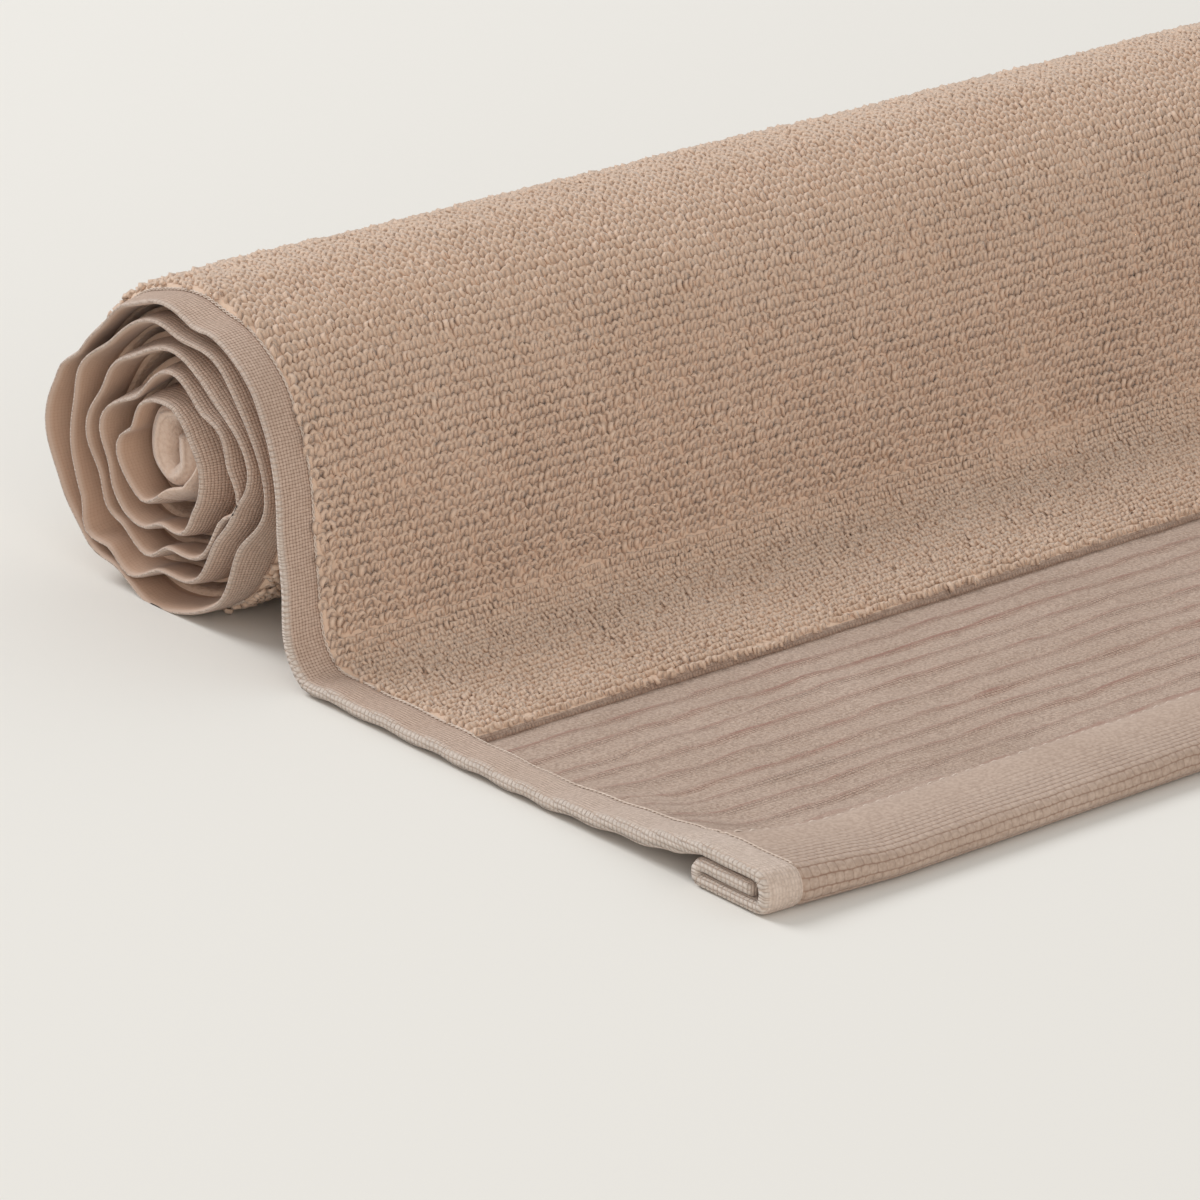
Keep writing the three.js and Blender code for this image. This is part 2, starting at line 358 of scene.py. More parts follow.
def edge_wave(u, s):
    """Height of the side hem's waves."""
    share = np.interp(from_edge(u), EDGE_ZONES, [1, 0.45, 0.2, 0])
    at = np.array([wave[0] for wave in EDGE_WAVES], float)
    height = np.array([wave[1] for wave in EDGE_WAVES], float)
    k = np.clip(np.searchsorted(at, s) - 1, 0, len(at) - 2)
    t = smooth((s - at[k]) / (at[k + 1] - at[k]))
    gain = 1 + WAVE_GAIN * smooth((s - WAVE_GAIN_BEGINS) / WAVE_GAIN_REACH)
    left = (height[k] + (height[k + 1] - height[k]) * t) * gain
    phase = 2 * math.pi * s / WAVE_LENGTH
    plain = PATH.at(s, "scallop") * np.sin(phase + 0.8 * np.sin(phase / 7.1))
    left = np.where(s < EDGE_WAVES[0][0], plain, left)
    right = PATH.at(s, "scallop") * np.sin(phase + 2.1 + 0.9 * np.sin(phase / 5.3))
    return share * np.where(u < TOWEL_WIDTH / 2, left, right)


def climb(u, s):
    """Share of the corner's climb at this place, and the height and half thickness it asks for."""
    at, height, half = np.array(CORNER_CLIMB, float).T
    across = 1 - smooth((from_edge(u) - 3) / CLIMB_REACH)
    share = smooth((s - at[0]) / 3) * smooth((at[-1] - s) / 12) * across
    return share, np.interp(s, at, height), np.interp(s, at, half)


def half_thickness(u, s):
    """Half of the cloth's thickness, and how much the end hem's corner is puffed up."""
    d = from_edge(u)
    share = hem_share(u)
    full = PATH.at(s, "full")
    puff = np.interp(d, EDGE_ZONES, [1, 0.8, 0.6, 0])
    swell = 0.18 + 0.06 * (s < TUCK_ENDS)
    tuck = 1 + swell * (1 - smooth((s - 54) / 4)) * (1 - smooth(d / 12))
    puff = 1 + (CORNER_PUFF - 1) * puff * full
    thick = PATH.at(s, "thick") * (1 - share) + PATH.at(s, "hem") * share
    half = thick / 2 * puff * tuck
    share, _, climb_half = climb(u, s)
    return half + share * (climb_half - half), puff


def end_bulge(u, s):
    """How far the soft core stands out of the roll's ends, along x."""
    out = CORE_BULGE * smooth((s - CORE_BEGINS) / 12) * (1 - smooth(from_edge(u) / 9))
    return np.where(u < TOWEL_WIDTH / 2, -out, out)


def place(u, s, height):
    """The point at this height off the centre line, on its outer side, in millimetres."""
    half, puff = half_thickness(u, s)
    edge = PATH.at(s, "edge")
    full = PATH.at(s, "full")
    lift = HEM_LIFT * edge * (1 - full) * hem_share(u)
    y = PATH.at(s, "y")
    ty, tz = PATH.at(s, "ty"), PATH.at(s, "tz")
    z = np.maximum(PATH.at(s, "z") * puff, (half + lift) * edge)
    share, climb_z, _ = climb(u, s)
    z = z + share * (climb_z - z)
    pull = np.interp(from_edge(u), EDGE_ZONES, [1, 0.7, 0.65, 0])
    pull = CORNER_PULL * pull * smooth((-y - 110) / 85)
    off = edge_wave(u, s) + height
    x = u + FLOOR_SHIFT * edge + PATH.at(s, "inset") + end_bulge(u, s)
    return np.stack([x, y + pull - tz * off, np.maximum(0, z + ty * off)], axis=-1)


def rounded_edge(u, s):
    """1 inside the cloth and less at its side edges, which are thin on the roll and blunt on the floor."""
    core = smooth((s - CORE_BEGINS) / 12)
    floor = PATH.at(s, "edge")
    d = from_edge(u)
    fold = 1 - smooth((s - HEM_SEAM + 4) / 8)
    power = 2.0 + 0.6 * floor + 0.3 * fold
    t = np.clip(1 - d / (1.5 + 3.5 * core + 0.7 * fold), 0, 1)
    thin = 1 - 0.45 * (1 - floor) * (1 - core) * (1 - smooth(d / 6))
    least = 0.34 + 0.2 * floor + 0.08 * fold - 0.1 * core
    return thin * np.maximum((1 - t**power) ** (1 / power), least)


def seam_groove(u):
    """The furrow that the side hem's sewing presses in."""
    return 0.3 * np.exp(-((from_edge(u) - SIDE_HEM_WIDTH - 0.35) / 0.45) ** 2)


def groove_wander(u, k):
    """How far groove k of the border strays from its straight line, and how deep it is there."""
    row = np.full_like(u, 3.1 * k)
    wander = 0.8 * lattice_noise(u / 38, row, SEED + k)
    wander = wander + 0.35 * lattice_noise(u / 11, row, SEED + 12 + k)
    strength = np.clip(0.72 + 0.55 * lattice_noise(u / 26, row, SEED + 20 + k), 0.1, 1.2)
    return wander, strength


def border_inside(u, s):
    """1 on the border, 0 on the hems and the terry."""
    b = TERRY_BEGINS - s
    along = smooth((b - 1.5) / 3) * smooth((s - HEM_SEAM - 1) / 4)
    return along * smooth((from_edge(u) - SIDE_HEM_WIDTH) / 3)


def border_grooves(u, s, width):
    """Depth of the border's grooves, drawn so wide."""
    b = TERRY_BEGINS - s
    depth = np.zeros(np.broadcast(u, s).shape)
    for k, (at, deep) in enumerate(BORDER_GROOVES):
        wander, strength = groove_wander(u, k)
        depth = depth + deep * strength * np.exp(-((b - at - wander) / width) ** 2)
    return depth * border_inside(u, s)


def border_ribs(u, s):
    """A number that passes a whole one at each groove, and how strong the nearest groove is."""
    b = TERRY_BEGINS - s
    turn = np.full(np.broadcast(u, s).shape, 1.0)
    strong = np.zeros(turn.shape)
    before = np.zeros(turn.shape)
    for k, (at, deep) in enumerate(BORDER_GROOVES):
        wander, strength = groove_wander(u, k)
        here = at + wander
        turn = turn + np.clip((b - before) / (here - before), 0, 1)
        strong = strong + deep * 2 * strength * np.exp(-((b - here - 1) / 2.4) ** 2)
        before = here
    return turn, np.clip(strong, 0, 1) * border_inside(u, s)


def border_edge(u, s):
    """The furrow at the foot of the first loops."""
    b = TERRY_BEGINS - s
    wander = 0.35 * lattice_noise(u / 9, np.full_like(u, 1.7), SEED + 11)
    return np.exp(-((b - 0.9 - wander) / 0.6) ** 2) * smooth((from_edge(u) - SIDE_HEM_WIDTH) / 2)


def border_relief(u, s):
    """Ribs and puckers of the border, as a height."""
    b = TERRY_BEGINS - s
    pucker = 0.46 * lattice_noise(u / 12, b / 4.2, SEED + 40)
    pucker = pucker + 0.3 * lattice_noise(u / 5.5, b / 2.6, SEED + 41)
    return pucker * border_inside(u, s) - 0.4 * border_grooves(u, s, 0.5) - 0.6 * border_edge(u, s)


def painted_furrow_shade(u, s):
    """Painted shade for the colour: where the cloth lies deep, at the foot of the first loops and in the
    furrow beside each side hem.
    """
    flat = (s > HEM_SEAM - 6) & (s <= TERRY_BEGINS + 2)
    seam = np.exp(-((from_edge(u) - SIDE_HEM_WIDTH - 0.55) / 0.4) ** 2)
    seam = seam * (0.35 + 0.65 * smooth((s - 140) / 40))
    return np.clip(np.maximum(border_edge(u, s) * flat, seam), 0, 1)


def rim_highlight_and_waffle(u, s):
    """1 on the very edge of a side hem, 0 elsewhere; weaker on the roll. It places the waffle bumps and a
    painted highlight.
    """
    return (1 - smooth((from_edge(u) - 0.3) / 0.9)) * (0.55 + 0.45 * PATH.at(s, "edge"))


def cloth_values(u, s):
    """The numbers that the finishes read from the mesh."""
    rib, strong = border_ribs(u, s)
    return {"furrow": painted_furrow_shade(u, s), "rim": rim_highlight_and_waffle(u, s), "rib": rib, "open": strong}


def hem_relief(u, s):
    """The end hem's sewing line and soft waves, as a height."""
    sewn = 0.45 * np.exp(-((s - SEWING_LINE) / 0.8) ** 2)
    wave = 0.22 * lattice_noise(u / 14, s / 9, SEED + 50) + 0.1 * lattice_noise(u / 5, s / 4, SEED + 51)
    inside = smooth((s - 34) / 6) * (1 - smooth((s - HEM_SEAM - 2) / 3))
    return (wave - sewn) * inside


def outer_height(u, s):
    """Height of the cloth's outer face off its centre line."""
    half, _ = half_thickness(u, s)
    terry = (s > TERRY_BEGINS) & (s < OUTSIDE_ENDS)
    ground = np.where(terry, GROUND, half)
    share = hem_share(u)
    height = half * share + ground * (1 - share)
    soft = 0.35 * lattice_noise(u / 34, s / 27, SEED + 60) * (1 - share) * terry
    flat = border_relief(u, s) * ((s > HEM_SEAM - 2) & (s <= TERRY_BEGINS + 2))
    return rounded_edge(u, s) * (height + soft + flat + hem_relief(u, s) - seam_groove(u))


def inner_height(u, s):
    """Height of the cloth's inner face, below its centre line."""
    half, _ = half_thickness(u, s)
    return -rounded_edge(u, s) * (half - seam_groove(u))


# Turning millimetres into the frame's metres.
def frame_offset():
    """From this script's millimetres to the frame: the solid's right end and its back."""
    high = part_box("towel")[1]
    s = np.linspace(TERRY_BEGINS, PATH.length, 20000)
    y = PATH.at(s, "y")
    reach = PATH.at(s, "tz") * PATH.at(s, "thick") / 2
    back = max(np.max(y - reach), np.max(y + reach))
    return np.array([high[0] * 1000 - TOWEL_WIDTH - CORE_INSET, high[1] * 1000 - back, 0.0])


OFFSET = frame_offset()


def in_frame(points):
    return (points + OFFSET) / 1000.0


def mesh_object(name, points, faces, uv, materials, slots=None, values=None):
    """A mesh from points in millimetres and arrays of faces, with u and s as its map."""
    corners = np.concatenate([part.ravel() for part in faces])
    sizes = np.concatenate([np.full(len(part), part.shape[1]) for part in faces])
    mesh = bpy.data.meshes.new(name)
    mesh.vertices.add(len(points))
    mesh.vertices.foreach_set("co", in_frame(points).astype(np.float32).ravel())
    mesh.loops.add(len(corners))
    mesh.loops.foreach_set("vertex_index", corners.astype(np.int32))
    mesh.polygons.add(len(sizes))
    mesh.polygons.foreach_set("loop_start", (np.cumsum(sizes) - sizes).astype(np.int32))
    mesh.polygons.foreach_set("loop_total", sizes.astype(np.int32))
    mesh.update(calc_edges=True)
    layer = mesh.uv_layers.new(name="cloth")
    layer.data.foreach_set("uv", uv[corners].astype(np.float32).ravel())
    for material in materials:
        mesh.materials.append(material)
    if slots is not None:
        mesh.polygons.foreach_set("material_index", slots.astype(np.int32))
    for title, numbers in (values or {}).items():
        layer = mesh.attributes.new(title, "FLOAT", "POINT")
        layer.data.foreach_set("value", numbers.astype(np.float32))
    mesh.polygons.foreach_set("use_smooth", np.ones(len(sizes), dtype=bool))
    mesh.update()
    thing = bpy.data.objects.new(name, mesh)
    bpy.context.scene.collection.objects.link(thing)
    return thing


# Materials.
class Finish:
    """A procedural material, with short ways to add its nodes."""

    def __init__(self, name, roughness=0.95, sheen=0.3, specular=0.2):
        self.material = bpy.data.materials.new(name)
        self.material.use_nodes = True
        self.tree = self.material.node_tree
        self.shader = self.tree.nodes["Principled BSDF"]
        self.shader.inputs["Roughness"].default_value = roughness
        self.shader.inputs["Sheen Weight"].default_value = sheen
        self.shader.inputs["Sheen Roughness"].default_value = 0.45
        self.shader.inputs["Specular IOR Level"].default_value = specular
        uv = self.tree.nodes.new("ShaderNodeUVMap")
        uv.uv_map = "cloth"
        self.uv = uv.outputs[0]
        split = self.tree.nodes.new("ShaderNodeSeparateXYZ")
        self.tree.links.new(self.uv, split.inputs[0])
        self.u = split.outputs[0]
        self.s = split.outputs[1]
        self.place = self.tree.nodes.new("ShaderNodeTexCoord").outputs["Object"]

    def above_floor(self):
        """Height above the floor, in millimetres."""
        split = self.tree.nodes.new("ShaderNodeSeparateXYZ")
        self.tree.links.new(self.place, split.inputs[0])
        return self.times(split.outputs[2], 1000)

    def calc(self, operation, a, b=0.0, c=0.0):
        """One operation on numbers or sockets."""
        node = self.tree.nodes.new("ShaderNodeMath")
        node.operation = operation
        for socket, value in zip(node.inputs, (a, b, c)):
            if isinstance(value, (int, float)):
                socket.default_value = value
            else:
                self.tree.links.new(value, socket)
        return node.outputs[0]

    def plus(self, a, b):
        return self.calc("ADD", a, b)

    def times(self, a, b):
        return self.calc("MULTIPLY", a, b)

    def noise(self, scale, detail=2.0, rough=0.5):
        """Noise in space, with scale as lumps a metre."""
        node = self.tree.nodes.new("ShaderNodeTexNoise")
        node.inputs["Scale"].default_value = scale
        node.inputs["Detail"].default_value = detail
        node.inputs["Roughness"].default_value = rough
        self.tree.links.new(self.place, node.inputs["Vector"])
        return node.outputs["Fac"]

    def pick(self):
        """A number that differs from loop to loop."""
        node = self.tree.nodes.new("ShaderNodeTexWhiteNoise")
        node.noise_dimensions = "2D"
        self.tree.links.new(self.uv, node.inputs["Vector"])
        return node.outputs["Value"]

    def value(self, name):
        """A number kept in the mesh."""
        node = self.tree.nodes.new("ShaderNodeAttribute")
        node.attribute_name = name
        return node.outputs["Fac"]

    def ramp(self, value, stops):
        """A colour that follows the value through stops of place and colour."""
        node = self.tree.nodes.new("ShaderNodeValToRGB")
        elements = node.color_ramp.elements
        while len(elements) < len(stops):
            elements.new(0.5)
        for element, (at, colour) in zip(elements, stops):
            element.position = at
            element.color = (*colour, 1)
        self.tree.links.new(value, node.inputs[0])
        return node.outputs[0]

    def along(self, reach, stops):
        """A colour that follows the distance along the cloth, up to this reach."""
        return self.ramp(self.calc("DIVIDE", self.s, reach), stops)

    def mix(self, share, a, b, blend="MIX"):
        """Colour a with this share of b."""
        node = self.tree.nodes.new("ShaderNodeMix")
        node.data_type = "RGBA"
        node.blend_type = blend
        for socket, value in ((node.inputs[0], share), (node.inputs[6], a), (node.inputs[7], b)):
            if isinstance(value, (int, float)):
                socket.default_value = value
            elif isinstance(value, tuple):
                socket.default_value = (*value, 1)
            else:
                self.tree.links.new(value, socket)
        return node.outputs[2]

    def finish(self, colour, height, strength, distance):
        """Gives the shader its colour and its bumps, so many millimetres high."""
        self.tree.links.new(colour, self.shader.inputs["Base Color"])
        bump = self.tree.nodes.new("ShaderNodeBump")
        bump.inputs["Strength"].default_value = strength
        bump.inputs["Distance"].default_value = distance / 1000
        self.tree.links.new(height, bump.inputs["Height"])
        self.tree.links.new(bump.outputs[0], self.shader.inputs["Normal"])
        return self.material

    def waves(self, value, pitch):
        """Humps from 0 to 1, one every pitch."""
        return self.calc("ABSOLUTE", self.calc("SINE", self.times(value, math.pi / pitch)))

    def weave(self, pitch_a, pitch_b, a=None, b=None):
        """A plain weave's grid: 1 on the crowns of the threads, 0 between them."""
        humps = self.times(self.waves(a or self.u, pitch_a), self.waves(b or self.s, pitch_b))
        return self.calc("SQRT", humps)

    def shaken(self, value, scale, reach):
        """The value, pushed to and fro so far by noise."""
        push = self.calc("MULTIPLY_ADD", self.noise(scale, 1), 2 * reach, -reach)
        return self.plus(value, push)


PILE_LIGHT = (0.735, 0.565, 0.445)
PILE_MIDDLE = (0.695, 0.52, 0.40)
# Painted shade: the ground between the loops, a little darker than them.
GROUND_SHADED = (0.69, 0.505, 0.385)
FLAT_LIGHT = (0.51, 0.402, 0.335)
FLAT_MIDDLE = (0.465, 0.36, 0.295)
HEM_LIGHT = (0.60, 0.462, 0.378)
HEM_MIDDLE = (0.555, 0.42, 0.338)
# Painted shade: the side hems' inner faces, darker and browner than their outer faces.
SHADED_INSIDE_LIGHT = (0.53, 0.365, 0.27)
SHADED_INSIDE_MIDDLE = (0.47, 0.31, 0.225)
# Painted light: a pale highlight on the side hems' edges, and a paler top where the hem lies on the floor.
PALE_PAINTED_LIGHT = (0.67, 0.58, 0.515)
# Painted light: the core's cloth is paler than the same cloth elsewhere.
CORE_PAINTED_LIGHT = (0.66, 0.505, 0.41)
# Painted shade, in furrows and in needle holes.
PAINTED_SHADE = (0.33, 0.20, 0.14)
# Painted shade in the border's grooves.
PAINTED_GROOVE_SHADE = (0.35, 0.19, 0.15)
WHITE = (1.0, 1.0, 1.0)
BLACK = (0.0, 0.0, 0.0)

# From thread to thread in each weave, both ways.
FINE_PITCH = (0.74, 0.68)
BORDER_PITCH = (0.84, 0.78)
WAFFLE_PITCH = (1.25, 1.15)


def tint(finish, low, high):
    """The cloth's colour, uneven from place to place."""
    return finish.ramp(finish.noise(28, 3), [(0.3, low), (0.7, high)])


def loops_finish():
    """Yarn, each loop a little lighter or darker than the next."""
    finish = Finish("terry_loops", sheen=0.25, specular=0.1)
    shades = [(0, (0.95, 0.935, 0.925)), (0.5, (0.98, 0.97, 0.97)), (1, WHITE)]
    shade = finish.ramp(finish.pick(), shades)
    colour = finish.mix(1.0, tint(finish, PILE_MIDDLE, PILE_LIGHT), shade, "MULTIPLY")
    return finish.finish(colour, finish.noise(2600, 2), 0.4, 0.1)


def ground_finish():
    """The cloth between the loops, in part a little darker than them: painted shade."""
    finish = Finish("terry_ground", sheen=0.2, specular=0.1)
    lumps = finish.noise(700, 3)
    colour = finish.ramp(lumps, [(0.35, GROUND_SHADED), (0.65, PILE_MIDDLE)])
    return finish.finish(colour, lumps, 0.6, 0.8)


def woven(finish, grid, low, strength, shades=(FLAT_MIDDLE, FLAT_LIGHT)):
    """The colour of flat weave: dark between the threads, and painted shade in the furrows."""
    dots = finish.ramp(grid, [(0.12, low), (0.5, WHITE)])
    colour = finish.mix(1.0, tint(finish, *shades), finish.mix(strength, WHITE, dots), "MULTIPLY")
    # painted shade: darker where the cloth lies deep in a furrow
    return finish.mix(finish.value("furrow"), colour, finish.mix(0.8, colour, PAINTED_SHADE))


def side_hem_finish():
    """Fine weave with a coarse waffle on the hem's turned edge, and painted light: a pale highlight along
    that edge and a paler top where the hem lies on the floor.
    """
    finish = Finish("side_hem_weave", sheen=0.15, specular=0.15)
    grid = finish.weave(*FINE_PITCH, finish.shaken(finish.u, 240, 0.25), finish.shaken(finish.s, 200, 0.25))
    clear = finish.along(100, [(0.5, (0.3, 0.3, 0.3)), (0.75, (0.9, 0.9, 0.9))])
    colour = woven(finish, grid, (0.36, 0.26, 0.22), clear, (HEM_MIDDLE, HEM_LIGHT))
    # painted light: the hem is paler on the free end, where it lies on the floor and faces up
    painted_floor_light = finish.along(200, [(0.3, (0.6, 0.6, 0.6)), (0.75, BLACK)])
    flecks = finish.ramp(finish.noise(1300, 3), [(0.36, (0.88, 0.85, 0.83)), (0.64, (1.05, 1.04, 1.04))])
    colour = finish.mix(1.0, finish.mix(painted_floor_light, colour, PALE_PAINTED_LIGHT), flecks, "MULTIPLY")
    along = finish.shaken(finish.s, 330, 0.3)
    waffle = finish.weave(*WAFFLE_PITCH, along, finish.shaken(finish.above_floor(), 290, 0.3))
    # painted highlight: the waffle turns pale along the very edge
    pale = finish.ramp(waffle, [(0.1, HEM_MIDDLE), (0.6, PALE_PAINTED_LIGHT)])
    colour = finish.mix(finish.value("rim"), colour, pale)
    bumps = finish.times(waffle, finish.times(finish.value("rim"), 2.6))
    height = finish.plus(grid, finish.times(finish.noise(700, 2), 0.8))
    return finish.finish(colour, finish.plus(height, bumps), 0.8, 0.2)


def shaded_hem_inside_finish():
    """The hem's inner face, smooth, in painted shade: darker and browner than its outer face."""
    finish = Finish("side_hem_inside_shaded", sheen=0.15, specular=0.1)
    grid = finish.weave(*FINE_PITCH)
    colour = woven(finish, grid, (0.8, 0.74, 0.7), 0.5, (SHADED_INSIDE_MIDDLE, SHADED_INSIDE_LIGHT))
    # painted highlight along the very edge
    pale = finish.mix(0.6, colour, PALE_PAINTED_LIGHT)
    colour = finish.mix(finish.value("rim"), colour, pale)
    return finish.finish(colour, finish.noise(900, 3), 0.5, 0.2)


def core_finish():
    """The soft brushed cloth of the roll's core, painted paler than the same cloth elsewhere: painted
    light.
    """
    finish = Finish("core_cloth", sheen=0.35, specular=0.1)
    fluff = finish.noise(1100, 3)
    shade = finish.ramp(fluff, [(0.3, (0.9, 0.87, 0.85)), (0.6, WHITE)])
    colour = finish.mix(1.0, tint(finish, HEM_LIGHT, CORE_PAINTED_LIGHT), shade, "MULTIPLY")
    return finish.finish(colour, finish.plus(fluff, finish.noise(320, 2)), 0.8, 0.5)


def stitch_hole_shade(finish, colour):
    """Painted shade in the small holes where the needle went through, along the end hem's seam."""
    half_length = 0.75
    half_width = 0.45
    line = SEWING_LINE - 0.4
    phase = finish.plus(finish.calc("DIVIDE", finish.u, STITCH), 0.45)
    beside = finish.calc("ABSOLUTE", finish.calc("SUBTRACT", finish.calc("FRACT", phase), 0.5))
    off = finish.calc("ABSOLUTE", finish.calc("SUBTRACT", finish.shaken(finish.s, 60, 0.4), line))
    far = finish.plus(finish.times(beside, STITCH / half_length), finish.calc("DIVIDE", off, half_width))
    hole = finish.ramp(far, [(0.55, WHITE), (1.0, BLACK)])
    return finish.mix(hole, colour, finish.mix(0.75, colour, PAINTED_SHADE))


def border_finish():
    """Crinkled weave with a band of open dots in front of each groove, and painted shade: a thin dark line
    in each groove and a warm tint over the band.
    """
    finish = Finish("border_weave", sheen=0.12, specular=0.15)
    grid = finish.weave(*BORDER_PITCH, finish.shaken(finish.u, 150, 0.3), finish.shaken(finish.s, 190, 0.3))
    part = finish.calc("FRACT", finish.plus(finish.value("rib"), 0.5))
    line = finish.ramp(part, [(0.425, BLACK), (0.465, WHITE), (0.535, WHITE), (0.575, BLACK)])
    band = finish.ramp(part, [(0.5, BLACK), (0.54, WHITE), (0.66, WHITE), (0.88, BLACK)])
    strong = finish.value("open")
    clear = finish.calc("MULTIPLY_ADD", finish.times(band, strong), 0.62, 0.16)
    colour = woven(finish, grid, (0.5, 0.31, 0.26), clear)
    flecks = finish.ramp(finish.noise(1500, 2), [(0.38, (0.85, 0.8, 0.78)), (0.62, (1.11, 1.1, 1.09))])
    colour = finish.mix(1.0, colour, flecks, "MULTIPLY")
    # painted shade: a warm tint over the band in front of each groove
    painted_warm_shade = finish.times(finish.times(band, strong), 0.6)
    colour = finish.mix(painted_warm_shade, colour, finish.mix(1.0, colour, (1.0, 0.87, 0.83), "MULTIPLY"))
    # painted shade: a thin dark line in each groove, broken here and there
    broken = finish.ramp(finish.noise(130, 2), [(0.38, (0.25, 0.25, 0.25)), (0.58, WHITE)])
    dark = finish.times(finish.times(line, finish.calc("POWER", strong, 0.5)), broken)
    colour = finish.mix(dark, colour, finish.mix(0.85, colour, PAINTED_GROOVE_SHADE))
    colour = stitch_hole_shade(finish, colour)
    height = finish.times(grid, finish.calc("MULTIPLY_ADD", band, 0.7, 0.35))
    height = finish.plus(height, finish.times(finish.noise(620, 4, rough=0.65), 2.2))
    return finish.finish(colour, height, 0.95, 0.3)


def end_hem_finish():
    """A plain fold whose front is woven in short dashes, laid like bricks."""
    finish = Finish("end_hem_weave", sheen=0.15, specular=0.15)
    length = 2.0
    pitch = 1.4
    s = finish.shaken(finish.s, 160, 0.25)
    row = finish.calc("FLOOR", finish.calc("DIVIDE", s, pitch))
    slide = finish.times(row, length / 2)
    u = finish.plus(finish.shaken(finish.u, 190, 0.3), slide)
    across = finish.waves(u, length)
    along = finish.waves(s, pitch)
    gaps = finish.calc("MULTIPLY_ADD", finish.calc("POWER", across, 0.45), 0.8, 0.2)
    dash = finish.times(gaps, finish.calc("POWER", along, 0.6))
    front = finish.along(100, [(0.44, WHITE), (0.54, BLACK)])
    clear = finish.times(front, finish.calc("MULTIPLY_ADD", finish.noise(60, 2), 1.0, 0.25))
    colour = woven(finish, dash, (0.62, 0.50, 0.44), clear)
    flecks = finish.ramp(finish.noise(1300, 3), [(0.36, (0.87, 0.83, 0.81)), (0.64, (1.07, 1.06, 1.05))])
    colour = stitch_hole_shade(finish, finish.mix(1.0, colour, flecks, "MULTIPLY"))
    lumps = finish.times(finish.noise(500, 3), 0.5)
    height = finish.plus(finish.times(dash, front), lumps)
    return finish.finish(colour, height, 0.8, 0.3)


def thread_finish():
    finish = Finish("sewing_thread", roughness=0.75, sheen=0.2, specular=0.25)
    colour = finish.ramp(finish.noise(1500, 1), [(0.3, (0.6, 0.49, 0.41)), (0.7, (0.72, 0.61, 0.53))])
    return finish.finish(colour, finish.noise(4000, 1), 0.3, 0.05)


LOOPS = loops_finish()
GROUND_CLOTH = ground_finish()
SIDE_HEM = side_hem_finish()
HEM_INSIDE_SHADED = shaded_hem_inside_finish()
CORE_CLOTH = core_finish()
BORDER = border_finish()
END_HEM = end_hem_finish()
THREAD = thread_finish()


# Columns of the cloth's mesh near its side edges, close together over the hems.
LEFT_COLUMNS = [0, 0.12, 0.4, 0.8, 1.3, 2.2, 3.6, 5.2, 6.8, 7.6, 8.1, 8.5, 8.9, 9.5, 11, 13.5, 17]
RIGHT_COLUMNS = [0, 0.12, 0.4, 0.8, 1.5, 3.2, 6, 7.8, 8.4, 9.0, 9.8, 13, 20]

# Rows of the cloth's mesh: start, end and step. Its two stretches meet at the joint, where each
# begins or ends a little sunk.
JOINT = TERRY_BEGINS + 1
FRONT_ROWS = [
    (-TUCK_FILL, 11, 2.1),
    (11, 19, 0.65),
    (19, 31, 2),
    (31, 43, 0.75),
    (43, HEM_SEAM, 0.95),
    (HEM_SEAM, JOINT, 0.65),
]
ROLL_ROWS = [
    (FIRST_LOOPS, 145, 0.8),
    (145, 300, 2.6),
    (300, OUTSIDE_ENDS, 2.3),
    (OUTSIDE_ENDS, 985, 2.0),
    (985, PATH.length, 0.9),
]


def columns(fine_step, fine_to, coarse_step):
    """Distances across the cloth: fine up to fine_to, then coarse up to the right hem."""
    left = np.concatenate([LEFT_COLUMNS, np.arange(LEFT_COLUMNS[-1] + fine_step, fine_to, fine_step)])
    right = TOWEL_WIDTH - np.array(RIGHT_COLUMNS)
    count = int((right.min() - left[-1]) / coarse_step)
    middle = np.linspace(left[-1], right.min(), count + 1)[1:-1]
    return np.concatenate([left, middle, np.sort(right)])


def rows(stretches):
    parts = [np.linspace(a, b, max(2, round((b - a) / step) + 1))[:-1] for a, b, step in stretches]
    return np.concatenate([*parts, [stretches[-1][1]]])


# The materials of the cloth, in the order of its slots.
CLOTH_FINISHES = [GROUND_CLOTH, SIDE_HEM, BORDER, END_HEM, HEM_INSIDE_SHADED, CORE_CLOTH]


def cloth_slots(u, s, inner):
    """The slot of each face, from the place of its middle. Later areas cover earlier ones."""
    in_hem = from_edge(u) < SIDE_HEM_WIDTH + FINISH_LAP
    areas = [
        (s < TERRY_BEGINS + FINISH_LAP, BORDER),
        (s < SEWING_LINE, END_HEM),
        (in_hem, SIDE_HEM),
        (in_hem & inner & (s > DRAPE_BEGINS), HEM_INSIDE_SHADED),
        (s > CORE_CLOTH_BEGINS, CORE_CLOTH),
    ]
    slots = np.full(len(u), CLOTH_FINISHES.index(GROUND_CLOTH))
    for area, material in areas:
        slots[area] = CLOTH_FINISHES.index(material)
    return slots


